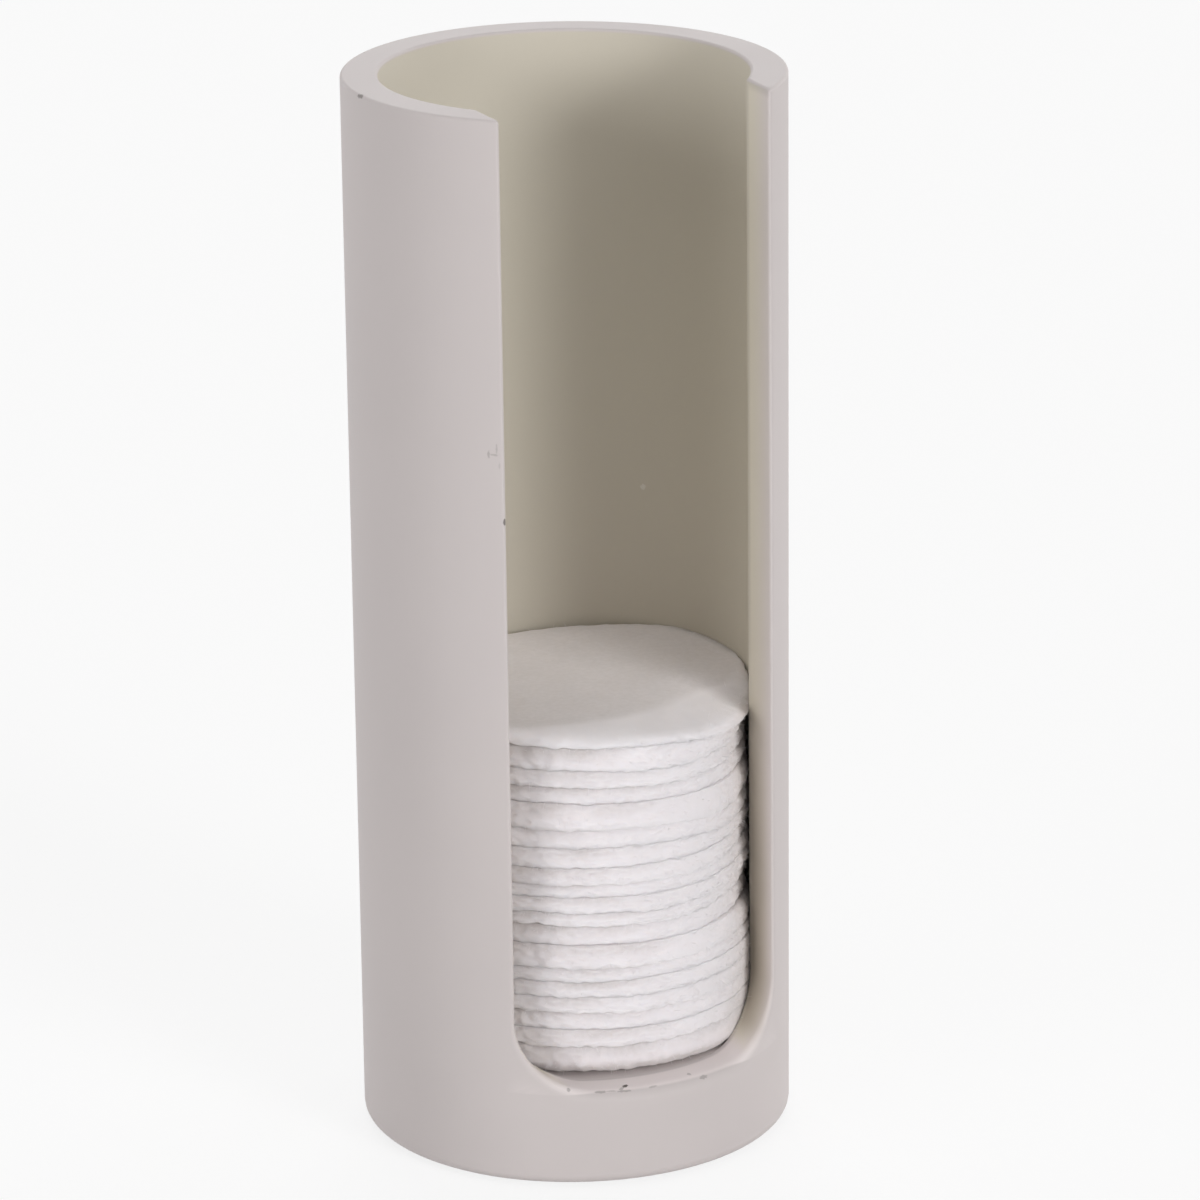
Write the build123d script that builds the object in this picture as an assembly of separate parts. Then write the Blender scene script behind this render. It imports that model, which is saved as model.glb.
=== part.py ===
from build123d import *
import os
from math import cos, radians, sin, sqrt

# A tall round container for cotton pads. A thick lacquered tube stands on a glued-in base plug
# with an anti-slip foot, and a wide slot down its front lets a finger reach the stack inside.
# The frame's origin is the middle of the foot's underside, +Z is up, and the slot faces -Y.
# All lengths are millimetres.

# The cotton pads, which set the bore
pad_diameter = 58.0
pad_clearance = 1.0          # from a centred pad's edge to the bore, all round
pad_thickness = 3.0          # of a pad of ordinary fullness in the pressed stack
pad_edge_depth = 1.9         # how far in from the edge its faces start to slope away
pad_nose_share = 0.35        # of a pad's thickness, the height of its blunt edge
pad_sides = 40               # chords in a pad's cut edge
pad_gap = 0.2                # between one pad's face and the next one's
pad_drift = 0.3              # how far a pad lies off the bore's axis
pad_drift_turn = 137.5       # degrees from one pad's drift to the next one's

# How full each pad is, from the lowest up, as a share of the ordinary thickness
pad_fullness = (1.66, 0.86, 0.98, 0.83, 0.83, 0.83, 1.24, 1.12, 0.70, 0.82,
                0.76, 0.88, 1.05, 1.05, 1.34, 0.93, 0.87, 1.27, 0.83)

# The container's tube
height = 182.0               # from the table to the rim
wall = 6.5
rim_edge_chamfer = 0.4
bottom_edge_radius = 1.8

# The finger slot, open at the rim and ending in a flat sill
slot_width = 47.0
slot_corner_radius = 12.0
slot_outer_edge_radius = 0.6
slot_inner_edge_radius = 0.5
sill_height = 17.0           # from the table

# The base plug, glued into a rebate in the tube's lower end
plug_shoulder = 1.5          # how far the plug's flange reaches past the bore
plug_flange_thickness = 10.0
plug_glue_gap = 0.05         # around the plug, for the glue
plug_edge_chamfer = 0.4

# The anti-slip foot, let into the underside of the plug
foot_diameter = 54.0
foot_thickness = 2.0
foot_proud = 0.6             # how far the foot stands below the tube, so that it alone meets the table
foot_clearance = 0.25        # around the foot in its recess
foot_edge_chamfer = 0.3

# Sizes that follow from those above
pad_radius = pad_diameter / 2
bore_radius = pad_radius + pad_clearance
outer_radius = bore_radius + wall
rebate_radius = bore_radius + plug_shoulder
rebate_top = foot_proud + plug_flange_thickness
foot_recess_depth = foot_thickness - foot_proud


def container_body():
    """The tube: bored right through, rebated below for the plug, and slotted down its front."""
    with BuildPart() as body:
        with BuildSketch(Plane.XY.offset(foot_proud)):
            Circle(outer_radius)
            Circle(bore_radius, mode=Mode.SUBTRACT)
        extrude(amount=height - foot_proud)
        with BuildSketch(Plane.XY.offset(foot_proud)):
            Circle(rebate_radius)
        extrude(amount=plug_flange_thickness, mode=Mode.SUBTRACT)
        with BuildSketch(Plane.XZ):
            add(slot_outline())
        extrude(amount=outer_radius, mode=Mode.SUBTRACT)
        fillet(slot_edges(body, outer_radius), slot_outer_edge_radius)
        fillet(slot_edges(body, bore_radius), slot_inner_edge_radius)
        chamfer(body.faces().sort_by(Axis.Z)[-1].edges(), rim_edge_chamfer)
        fillet(bottom_edge(body), bottom_edge_radius)
    return body.part


def slot_outline():
    """The slot as seen from the front, from the sill to past the rim, with round lower corners."""
    half = slot_width / 2
    past_rim = height + wall
    with BuildSketch(Plane.XY) as outline:
        with BuildLine():
            FilletPolyline((-half, past_rim), (-half, sill_height), (half, sill_height), (half, past_rim),
                           radius=slot_corner_radius)
            Line((half, past_rim), (-half, past_rim))
        make_face()
    return outline.sketch


def slot_edges(body, radius):
    """The slot's edges on the round wall of that radius, from the rim down, along the sill and up."""
    half = slot_width / 2
    tolerance = 0.01

    def on_wall(edge):
        middle = edge @ 0.5
        off_wall = abs(sqrt(middle.X ** 2 + middle.Y ** 2) - radius)
        in_slot = abs(middle.X) <= half + tolerance and middle.Y < 0
        below_rim = sill_height - tolerance <= middle.Z < height - rim_edge_chamfer
        return off_wall < tolerance and in_slot and below_rim

    return body.edges().filter_by(on_wall)


def bottom_edge(body):
    """The tube's outer edge at its lower end."""
    lowest = body.faces().sort_by(Axis.Z)[0]
    return lowest.edges().sort_by(SortBy.LENGTH)[-1]


def base_plug():
    """The stepped plug: a flange in the rebate, a spigot up to the floor, a recess for the foot."""
    flange_radius = rebate_radius - plug_glue_gap
    spigot_radius = bore_radius - plug_glue_gap
    with BuildPart() as plug:
        with BuildSketch(Plane.XY.offset(foot_proud)):
            Circle(flange_radius)
        extrude(amount=plug_flange_thickness)
        with BuildSketch(Plane.XY.offset(rebate_top)):
            Circle(spigot_radius)
        extrude(amount=sill_height - rebate_top)
        with BuildSketch(Plane.XY.offset(foot_proud)):
            Circle(foot_diameter / 2 + foot_clearance)
        extrude(amount=foot_recess_depth, mode=Mode.SUBTRACT)
        chamfer(plug.faces().sort_by(Axis.Z)[0].outer_wire().edges(), plug_edge_chamfer)
    return plug.part


def anti_slip_foot():
    """The round foot, flat on both faces, with its lower edge eased."""
    with BuildPart() as foot:
        Cylinder(foot_diameter / 2, foot_thickness, align=(Align.CENTER, Align.CENTER, Align.MIN))
        chamfer(foot.faces().sort_by(Axis.Z)[0].edges(), foot_edge_chamfer)
    return foot.part


def cotton_pad(thickness):
    """A pad standing on z = 0, with level faces that slope away at the rim to a blunt edge."""
    slope_height = thickness * (1 - pad_nose_share) / 2
    with BuildPart() as pad:
        with BuildSketch():
            RegularPolygon(pad_radius, pad_sides)
        extrude(amount=thickness)
        for end in (0, -1):
            level = pad.faces().sort_by(Axis.Z)[end]
            chamfer(level.edges(), pad_edge_depth, slope_height, reference=level)
    return pad.part


def pad_stack():
    """The pads by name, each with its own thickness and drift, from the floor up."""
    pads = {}
    floor = sill_height + pad_gap
    for number, fullness in enumerate(pad_fullness, start=1):
        thickness = pad_thickness * fullness
        turn = radians(pad_drift_turn * number)
        place = Location((pad_drift * cos(turn), pad_drift * sin(turn), floor))
        pads[f"cotton_pad_{number:02d}"] = place * cotton_pad(thickness)
        floor += thickness + pad_gap
    return pads


parts = {
    "container_body": container_body(),
    "base_plug": base_plug(),
    "anti_slip_foot": anti_slip_foot(),
    **pad_stack(),
}

os.makedirs("parts", exist_ok=True)
for name, part in parts.items():
    export_step(part, f"parts/{name}.step")
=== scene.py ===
import random
from math import atan2, cos, degrees, hypot, pi, radians, sin, sqrt

import bmesh
import bpy
from bpy.props import FloatProperty, FloatVectorProperty, IntProperty, PointerProperty
from bpy.types import Operator, Panel, PropertyGroup
from mathutils import Matrix, Quaternion, Vector, noise


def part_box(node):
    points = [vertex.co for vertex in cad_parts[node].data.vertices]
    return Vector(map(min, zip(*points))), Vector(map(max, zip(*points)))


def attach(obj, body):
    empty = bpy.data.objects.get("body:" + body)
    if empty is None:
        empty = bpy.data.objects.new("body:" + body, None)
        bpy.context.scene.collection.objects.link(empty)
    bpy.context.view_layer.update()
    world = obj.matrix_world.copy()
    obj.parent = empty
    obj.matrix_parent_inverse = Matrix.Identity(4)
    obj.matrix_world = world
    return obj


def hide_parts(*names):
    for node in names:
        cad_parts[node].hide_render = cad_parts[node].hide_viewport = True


bl_info = {
    "name": "Cotton pad container",
    "version": (1, 0, 0),
    "blender": (4, 5, 0),
    "location": "View3D > Sidebar > Pad Container",
    "description": "Builds the lacquered pad container, its pads, their finishes and the studio round them",
    "category": "Object",
}

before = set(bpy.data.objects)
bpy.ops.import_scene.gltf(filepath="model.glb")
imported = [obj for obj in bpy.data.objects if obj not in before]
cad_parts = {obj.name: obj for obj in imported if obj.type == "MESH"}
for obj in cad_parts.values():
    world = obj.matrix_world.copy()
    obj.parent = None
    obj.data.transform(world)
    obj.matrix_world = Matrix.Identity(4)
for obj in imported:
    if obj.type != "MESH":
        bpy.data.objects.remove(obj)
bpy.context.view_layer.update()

MM = 0.001
BODY_LOW, BODY_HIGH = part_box("container_body")
PLUG_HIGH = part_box("base_plug")[1]
PAD_NODES = sorted(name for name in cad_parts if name.startswith("cotton_pad_"))


# Sizes and colours that a user would change

def length(name, description, default):
    """A length in metres, shown in the scene's own unit."""
    return FloatProperty(name=name, description=description, default=default, min=0.0, precision=5,
                         subtype="DISTANCE", unit="LENGTH")


def colour(name, description, default):
    """A linear RGB colour with a swatch."""
    return FloatVectorProperty(name=name, description=description, default=default, size=3,
                               min=0.0, max=1.0, subtype="COLOR")


class ShellSizes(PropertyGroup):
    """The lacquered tube with its finger slot."""
    outer_diameter: length("Outside diameter", "Across the tube", BODY_HIGH.x - BODY_LOW.x)
    bore_diameter: length("Bore", "Across the inside of the tube", 60 * MM)
    height: length("Height", "From the table to the rim", BODY_HIGH.z)
    lower_end: length("Lower end", "From the table to the tube's lower end", BODY_LOW.z)
    slot_width: length("Slot width", "Between the slot's two sides", 47 * MM)
    corner_radius: length("Slot corner radius", "Of the slot's two lower corners", 12 * MM)
    sill_height: length("Sill height", "From the table to the slot's sill", PLUG_HIGH.z)
    rebate_diameter: length("Rebate diameter", "Of the wider bore that holds the base plug", 63 * MM)
    rebate_height: length("Rebate height", "From the table to the top of that wider bore", 10.6 * MM)
    bore_relief: length("Bore relief", "How much further the bore's wall lies out above the floor", 0.35 * MM)
    slot_spread: length("Slot spread", "How much further out each side of the slot is at the sill", 0.3 * MM)
    slot_easing: length("Slot easing", "Rounded width of the slot's outer edge", 1.2 * MM)
    sill_easing: length("Sill easing", "Rounded width of the sill's outer edge", 2.2 * MM)
    inner_easing: length("Inner easing", "Rounded width of the slot's inner edge", 0.4 * MM)
    low_inner_easing: length("Low inner easing", "Rounded width of the inner edge near the sill", 1.2 * MM)
    rim_easing: length("Rim easing", "Rounded width of the rim's edges", 0.55 * MM)
    foot_easing: length("Foot easing", "Rounded width of the tube's lower outer edge", 1.8 * MM)
    slot_lean: FloatProperty(name="Slot lean", description="How far the hand-milled slot leans off upright",
                             default=radians(0.24), subtype="ANGLE")


class PadSizes(PropertyGroup):
    """The cotton pads in the stack."""
    diameter: length("Diameter", "Across a pad", 58.4 * MM)
    upper_groove: length("Upper groove", "How far a pad's edge falls back above its widest place", 0.85 * MM)
    lower_groove: length("Lower groove", "How far a pad's edge falls back below its widest place", 0.9 * MM)
    top_sink: length("Top sink", "How far the top pad's face lies below its plain solid's", 0.35 * MM)
    fibre_length: length("Fibre length", "Of the loose fibres round a pad's edge", 0.75 * MM)
    fibre_width: length("Fibre width", "Of the loose fibres round a pad's edge", 0.07 * MM)
    fibre_count: IntProperty(name="Fibre count", description="Loose fibres on each pad", default=420, min=0)
    swell: length("Swell", "How far a pad's faces stand proud of its plain solid", 0.22 * MM)
    shift: length("Shift", "How far the stack leans over to the slot's right-hand side", 1.55 * MM)
    scallop: length("Scallop", "How far the lower edge strays up and down from tuft to tuft", 0.3 * MM)
    waviness: length("Waviness", "How far a pad's edge strays up and down", 0.35 * MM)
    raggedness: length("Raggedness", "How far a pad's cut edge strays in and out", 0.34 * MM)


class Finishes(PropertyGroup):
    """The colours of the three materials."""
    lacquer: colour("Lacquer", "Greige lacquer on the tube and the plug", (0.600, 0.550, 0.542))
    # Painted shade tint: a warmer colour for the bore, standing in for the warm shade inside the tube
    bore_shade_tint: colour("Bore lacquer", "The thinner coat inside the bore", (0.620, 0.578, 0.496))
    cotton: colour("Cotton", "Pressed white cotton", (0.893, 0.849, 0.870))
    foam: colour("Foam", "Closed-cell foam of the foot", (0.045, 0.043, 0.041))


class StageSettings(PropertyGroup):
    """The camera, the lamps and the backdrop."""
    focal_length: FloatProperty(name="Focal length", description="Of the camera, on a 36 mm sensor",
                                default=176.225, min=1.0, subtype="DISTANCE_CAMERA")
    camera_roll: FloatProperty(name="Camera roll", description="How far the camera is turned about its view",
                               default=-0.0109, subtype="ANGLE")
    backdrop: colour("Backdrop", "Floor and surroundings", (0.86, 0.86, 0.86))


# Meshes

def new_piece(name, bm, material, body):
    """Makes the mesh a smooth-shaded object that rides on a body and takes its finish from a slot."""
    mesh = bpy.data.meshes.new(name)
    bm.to_mesh(mesh)
    bm.free()
    piece = bpy.data.objects.new(name, mesh)
    bpy.context.scene.collection.objects.link(piece)
    mesh.materials.append(material)
    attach(piece, body)
    return piece


def spread(start, end, steps):
    """Even steps from start to end, without start itself."""
    return [start + (end - start) * i / steps for i in range(1, steps + 1)]


def on_wall(turn, z, radius):
    """The point on a round wall that is turned from the slot's middle towards +X, at a height."""
    return Vector((radius * sin(turn), -radius * cos(turn), z))


def turn_of(co):
    """How far a point is turned from the slot's middle towards +X."""
    return atan2(co.x, -co.y)


def smooth(t):
    """A share from 0 to 1 with soft ends."""
    t = min(max(t, 0.0), 1.0)
    return t * t * (3 - 2 * t)


def between(value, start, end):
    """How far a value has come from start to end, from 0 to 1 with soft ends."""
    return smooth((value - start) / (end - start))


# The tube

# How finely the slot's outline is divided down its sides, round its corners and along its sill
SIDE_STEPS, CORNER_STEPS, SILL_STEPS = 36, 16, 16

# The band of faces round the slot
BAND_ROWS = 5
SILL_CROWDING = 0.35         # how the rows crowd towards the sill, as a power
BAND_TURN = radians(60)      # how far round the tube it reaches
BAND_LOW = 11 * MM           # where it ends, above the table
BAND_KNEE = 0.75             # of the corner radius above the sill, where its upright side ends
BAND_CORNER = 0.55           # of its turn, where the points for the slot's corner end

BACK_STEPS = 96              # round the back, from one side of the band to the other
LOWER_RING = 6 * MM          # the ring of points between the rebate's top and the lower end
RING_GAP = 0.1 * MM          # on either side of the step that the rebate makes
RELIEF_RISE = 8 * MM         # above the floor, where the bore has its full relief
CRISP = radians(35)          # edges with a sharper fold than this are eased
INNER_EASED = 0.6            # of the height above the sill, where the inner edge has its upper easing
NEAR = 0.02 * MM             # closer than this is the same place


def slot_edge(sizes):
    """The slot's outline on the outer wall, as turns and heights from the left rim to the right one."""
    half, r = sizes.slot_width / 2, sizes.corner_radius
    sill = sizes.sill_height
    points = [(-half, sizes.height)]
    points += [(-half, z) for z in spread(sizes.height, sill + r, SIDE_STEPS)]
    points += [(-half + r - r * cos(a), sill + r - r * sin(a)) for a in spread(0, pi / 2, CORNER_STEPS)]
    points += [(x, sill) for x in spread(-half + r, 0, SILL_STEPS // 2)]
    points += [(-x, z) for x, z in reversed(points[:-1])]
    radius = sizes.outer_diameter / 2
    outline = []
    for x, z in points:
        x += sizes.slot_spread * (x / half) * (sizes.height - z) / (sizes.height - sill)
        outline.append((atan2(x, sqrt(radius * radius - x * x)), z))
    return outline


def band_edge(sizes):
    """The far edge of the band round the slot, with one point for each point of the slot's edge."""
    knee = sizes.sill_height + sizes.corner_radius * BAND_KNEE
    corner = -BAND_TURN * BAND_CORNER
    points = [(-BAND_TURN, sizes.height)]
    points += [(-BAND_TURN, z) for z in spread(sizes.height, knee, SIDE_STEPS)]
    points += [(-BAND_TURN, z) for z in spread(knee, BAND_LOW, CORNER_STEPS // 2)]
    points += [(turn, BAND_LOW) for turn in spread(-BAND_TURN, corner, CORNER_STEPS // 2)]
    points += [(turn, BAND_LOW) for turn in spread(corner, 0, SILL_STEPS // 2)]
    points += [(-turn, z) for turn, z in reversed(points[:-1])]
    return points


def extrude_chain(bm, edges):
    """Extrudes a chain of edges and returns its new edges and vertices, still in the old place."""
    made = bmesh.ops.extrude_edge_only(bm, edges=edges)["geom"]
    verts = {g for g in made if isinstance(g, bmesh.types.BMVert)}
    ahead = [g for g in made if isinstance(g, bmesh.types.BMEdge) and verts.issuperset(g.verts)]
    return ahead, verts


def outer_wall(bm, sizes):
    """The outer wall: a band that follows the slot, swept round the back and drawn down."""
    radius = sizes.outer_diameter / 2
    near, far = slot_edge(sizes), band_edge(sizes)
    station = bm.verts.layers.int.new("station")
    chain = []
    for i, (turn, z) in enumerate(near):
        vert = bm.verts.new(on_wall(turn, z, radius))
        vert[station] = i
        chain.append(vert)
    edges = [bm.edges.new(pair) for pair in zip(chain, chain[1:])]
    for row in range(1, BAND_ROWS + 1):
        edges, verts = extrude_chain(bm, edges)
        for vert in verts:
            (turn_a, z_a), (turn_b, z_b) = near[vert[station]], far[vert[station]]
            rise = smooth((z_a - sizes.sill_height) / sizes.corner_radius)
            t = (row / BAND_ROWS) ** (SILL_CROWDING + (1 - SILL_CROWDING) * rise)
            vert.co = on_wall(turn_a + (turn_b - turn_a) * t, z_a + (z_b - z_a) * t, radius)
    last_side = SIDE_STEPS + CORNER_STEPS // 2
    side = [e for e in edges if all(v[station] <= last_side for v in e.verts)]
    corners = list({v for e in side for v in e.verts})
    bmesh.ops.spin(bm, geom=side + corners, cent=(0, 0, 0), axis=(0, 0, 1),
                   angle=-(2 * pi - 2 * BAND_TURN), steps=BACK_STEPS, use_duplicate=False)
    bmesh.ops.remove_doubles(bm, verts=bm.verts, dist=NEAR / 2)
    edges = [e for e in bm.edges if e.is_boundary and all(abs(v.co.z - BAND_LOW) < NEAR / 2 for v in e.verts)]
    rebate = sizes.rebate_height
    for z in (rebate + RING_GAP, rebate - RING_GAP, LOWER_RING, sizes.lower_end):
        edges, verts = extrude_chain(bm, edges)
        for vert in verts:
            vert.co.z = z


def inner_turn(turn, sizes):
    """Where a point of the outer wall comes to lie on the bore: the slot is cut straight through."""
    outer, bore = sizes.outer_diameter / 2, sizes.bore_diameter / 2
    half = sizes.slot_width / 2 + sizes.slot_spread
    limit = atan2(half, sqrt(outer ** 2 - half ** 2))
    inner_limit = atan2(half, sqrt(bore ** 2 - half ** 2))
    size = abs(turn)
    if size <= limit:
        x = outer * sin(size)
        moved = atan2(x, sqrt(bore ** 2 - x ** 2))
    else:
        fade = max(0.0, 1 - (size - limit) / (pi / 2 - limit))
        moved = size + (inner_limit - limit) * fade
    return moved if turn >= 0 else -moved


def lean_slot(bm, sizes):
    """Turns the front of the tube a little more with height, as the slot leans."""
    middle = sizes.height / 2
    for vert in bm.verts:
        turn = turn_of(vert.co)
        reach = 1 - smooth((abs(turn) - BAND_TURN) / (pi / 2))
        shift = -sizes.slot_lean * (vert.co.z - middle) / (sizes.outer_diameter / 2) * reach
        vert.co = Matrix.Rotation(shift, 3, "Z") @ vert.co


def widest_easing(sizes):
    """The easing that the Bevel modifier's width stands for."""
    return max(sizes.slot_easing, sizes.sill_easing, sizes.foot_easing)


def weigh_edges(bm, sizes):
    """Gives each crisp edge the share of the widest easing that the Bevel modifier rounds it by."""
    weight = bm.edges.layers.float.new("bevel_weight_edge")
    widest = widest_easing(sizes)
    outer, bore = sizes.outer_diameter / 2, sizes.bore_diameter / 2 + sizes.bore_relief
    for edge in bm.edges:
        if len(edge.link_faces) != 2 or abs(edge.calc_face_angle()) < CRISP:
            continue
        heights = [v.co.z for v in edge.verts]
        reaches = [hypot(v.co.x, v.co.y) for v in edge.verts]
        above_sill = sum(heights) / 2 - sizes.sill_height
        rise = smooth(above_sill / sizes.corner_radius)
        low = 1 - smooth(above_sill / (sizes.height * INNER_EASED))
        easing = 0.0
        if min(heights) > sizes.height - NEAR:
            easing = sizes.rim_easing
        elif min(reaches) > outer - NEAR:
            easing = sizes.sill_easing + (sizes.slot_easing - sizes.sill_easing) * rise
            if max(heights) < sizes.lower_end + NEAR:
                easing = sizes.foot_easing
        elif max(reaches) < bore + NEAR:
            easing = (sizes.inner_easing + (sizes.low_inner_easing - sizes.inner_easing) * low) * rise
        edge[weight] = easing / widest
        edge.smooth = easing > 0


def shell_mesh(sizes):
    """The whole tube: the outer wall, thickened inwards to the bore and the rebate below it."""
    bm = bmesh.new()
    outer_wall(bm, sizes)
    made = bmesh.ops.extrude_face_region(bm, geom=bm.faces[:])["geom"]
    for vert in (g for g in made if isinstance(g, bmesh.types.BMVert)):
        z = vert.co.z
        radius = sizes.bore_diameter / 2 if z > sizes.rebate_height else sizes.rebate_diameter / 2
        radius += sizes.bore_relief * smooth((z - sizes.sill_height) / RELIEF_RISE)
        vert.co = on_wall(inner_turn(turn_of(vert.co), sizes), z, radius)
    bmesh.ops.recalc_face_normals(bm, faces=bm.faces)
    lean_slot(bm, sizes)
    weigh_edges(bm, sizes)
    for face in bm.faces:
        face.smooth = True
    return bm


# The pads

PAD_TURNS = 480              # steps round a pad
PAD_EDGE_STEPS = 16          # from a pad's face round its edge to its underside
FACE_RINGS = (0.0, 0.3, 0.5, 0.6, 0.68, 0.76, 0.84, 0.91)   # of the radius, on a pad's face
UNDER_RINGS = (0.85, 0.68, 0.3, 0.0)                        # and on its underside
NOSE, TOP_NOSE = 0.46, 0.15  # of its thickness, where a pad's edge reaches out furthest
TOP_GROOVE = 0.8             # of the ordinary upper groove, over the top pad's edge
WALL_GAP = 0.03 * MM         # from a pad that meets the bore's wall to the wall
# The pads' vertex attribute that carries painted shade into the cotton's colour
SHADE = "groove_shade"

# The stack leans over sideways, to the right-hand side of the slot
LEAN_TURN = radians(-24.8)
SIDEWAYS = Vector((cos(LEAN_TURN), sin(LEAN_TURN), 0))
BACKWARDS = Vector((-sin(LEAN_TURN), cos(LEAN_TURN), 0))

# Each pad from the lowest up: how far its right-hand end falls short of its neighbours', in
# millimetres, and how deep the groove under it is against the ordinary one
PAD_PLACES = (
    (0.2, 4.5), (0.0, 1.0), (0.0, 1.0), (0.3, 0.9), (0.0, 0.9), (0.4, 0.9), (0.8, 0.9),
    (1.8, 1.5), (1.5, 1.4), (0.8, 0.9), (1.0, 0.8), (1.5, 0.9), (1.0, 1.0), (1.1, 0.9),
    (1.2, 1.0), (1.4, 1.4), (1.8, 1.4), (1.5, 0.9), (0.0, 1.3),
)
SHORT_START = 0.6            # how far sideways a pad starts to fall short, as a share of its radius

# Where the top pad's face starts to curl down: the turn from the slot's middle in degrees, and the
# distance from the pad's middle in millimetres
CURL_STARTS = ((-180, 28.4), (-75, 28.0), (-48, 26.0), (-20, 20.8), (2, 18.6), (35, 17.6), (50, 18.8),
               (57, 21.0), (63, 25.5), (72, 27.8), (180, 28.4))

# How deep the grooves are across the stack, from its left-hand end to its right-hand one, against
# the ordinary depth: they close towards the right and open again at the very end
GROOVE_DEPTHS = ((-1.0, 1.1), (-0.45, 0.9), (-0.19, 0.75), (0.0, 0.8), (0.13, 0.65), (0.4, 0.35),
                 (0.7, 0.12), (0.88, 0.2), (0.95, 0.9), (1.0, 1.6))
LOW_CLOSING = 0.45           # of that closing, round the lowest pad

# How much even painted shade the cotton gets where the grooves close, from the stack's middle to the right
EVEN_SHADES = ((0.0, 0.0), (0.3, 0.05), (0.6, 0.15), (0.8, 0.35), (0.9, 0.7), (1.0, 0.9))

# How far the pads' right-hand ends hang at each height of the stack, in millimetres
END_HANG = ((0, 0), (40, 0), (46, -0.5), (50, 0), (54, 0), (57, 0.9), (61, 1.1), (65, 0.1),
            (71, -0.2), (75, 1.1))
END_REACH = (14 * MM, 28 * MM)          # sideways, over which an end comes to hang

# The waves that all the pads share, slow and fine: how long they are, and how much shorter upwards
SLOW_WAVE, SLOW_SQUEEZE = 19 * MM, 1.6
FINE_WAVE, FINE_SQUEEZE = 7 * MM, 1.2
FINE_OFFSET, FINE_SHARE = Vector((5, 9, 2)), 0.45
WAVE_RISE = 12 * MM                     # above the floor, where the waves are full
TWIST = 1.4                             # metres up for each metre sideways and metre back
TWIST_HEIGHTS = (60 * MM, 74 * MM)      # over which the twist comes in

# How the wall pushes the top pad's right-hand end up: how far, from where to where sideways and
# back, and how quickly it fades towards the pad's underside
PUSH_UP = 1.3 * MM
PUSH_SIDE, PUSH_BACK = (8 * MM, 26 * MM), (-6 * MM, 2 * MM)
PUSH_FADE = 1.5

# How a pad's cut edge strays, in beats to a turn: bulges, tufts and nicks
BULGES, TUFTS, NICKS = 7, 30, 120
TUFT_SHARE, NICK_SHARE = 0.5, 1.0       # of the raggedness
EDGE_CURL = 0.16                        # of the thickness, how far the edge wanders up and down
EDGE_BAND = (-6 * MM, -1 * MM)          # from the edge, over which all this comes in
PAD_SPACING, SEED_SPACING = 1.37, 7.31  # between the noise of one pad or one use and the next one's

# How much painted shade darkens the cotton: on the top pad's flat face, under the pad above, over the pad
# below, and on the lowest pad's foot, with how far up or down a pad each reaches
FACE_SHADE, FACE_FADE = 0.5, (-2 * MM, 1 * MM)
OVER_REACH, OVER_STRAY, OVER_BEATS = 0.75, 0.2, 9
UNDER_SHADE, UNDER_REACH = 0.7, 0.2
FLOOR_SHADE, FLOOR_REACH = 1.6, 0.6
SHADE_BAND = (-2.5 * MM, -1.5 * MM)     # from the edge, over which the dimness comes in
PATCH_SHADE, PATCH_STRAY, PATCH_BEATS = 0.85, 0.9, 22

# The loose fibres: their points, how far they spray and bend, how deep they root and how they taper
FIBRE_STEPS = 3
FIBRE_ANGLES = (-1.4, 1.4, -0.2)        # round the edge: the lowest, the highest and the most usual
FIBRE_REACHES = (0.3, 1.3, 0.5)         # of the fibre length, in the same way
FIBRE_SPRAY, FIBRE_BEND, FIBRE_SWAY = 0.75, 0.45, 0.8
FIBRE_ROOT, FIBRE_TAPER = 0.2, 0.6


def pad_profile(radius, low, high, upper, lower, nose_share=NOSE):
    """Half a pad's outline, from the middle of its top round the edge to the middle of its underside.

    The edge reaches out furthest at its nose, and falls back by upper above and by lower below."""
    points = [Vector((radius * share, 0, high)) for share in FACE_RINGS]
    points += [edge_point(pi / 2 - pi * i / PAD_EDGE_STEPS, radius, low, high, upper, lower, nose_share)
               for i in range(PAD_EDGE_STEPS + 1)]
    points += [Vector((radius * share, 0, low)) for share in UNDER_RINGS]
    return points


def edge_point(angle, radius, low, high, upper, lower, nose_share=NOSE):
    """A point on a pad's rounded edge, from its top at a quarter turn down to its underside."""
    nose = low + (high - low) * nose_share
    back, rise = (upper, high - nose) if angle > 0 else (lower, nose - low)
    return Vector((radius - back * (1 - max(cos(angle), 0.0)), 0, nose + rise * sin(angle)))


def stray(turn, seed, beat):
    """Smooth noise round a pad's edge, from -1 to 1, with about that many beats in a turn."""
    reach = beat / (2 * pi)
    return noise.noise(Vector((cos(turn) * reach, sin(turn) * reach, seed * SEED_SPACING)))


def from_table(table, value):
    """Reads a table of pairs at a value, straight from one pair to the next."""
    for (a, at_a), (b, at_b) in zip(table, table[1:]):
        if value <= b:
            return at_a + (at_b - at_a) * (value - a) / (b - a)
    return table[-1][1]


def side_share(turn):
    """How far sideways a turn of the stack lies, from -1 at its left-hand end to 1 at the right."""
    return Vector((cos(turn), sin(turn), 0)).dot(SIDEWAYS)


def settle(co, sizes):
    """How far the stack lifts a point: the pads sag and swell together, and the top ones are twisted."""
    slow = noise.noise(Vector((co.x, co.y, co.z * SLOW_SQUEEZE)) / SLOW_WAVE)
    fine = noise.noise(Vector((co.x, co.y, co.z * FINE_SQUEEZE)) / FINE_WAVE + FINE_OFFSET)
    waves = sizes.waviness * (slow + FINE_SHARE * fine) * smooth(hypot(co.x, co.y) / (sizes.diameter / 2))
    side, back = co.dot(SIDEWAYS), co.dot(BACKWARDS)
    twist = TWIST * side * back * between(co.z, *TWIST_HEIGHTS)
    hang = from_table(END_HANG, co.z / MM) * MM * between(side, *END_REACH)
    return (waves + twist - hang) * smooth((co.z - PLUG_HIGH.z) / WAVE_RISE)


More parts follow.
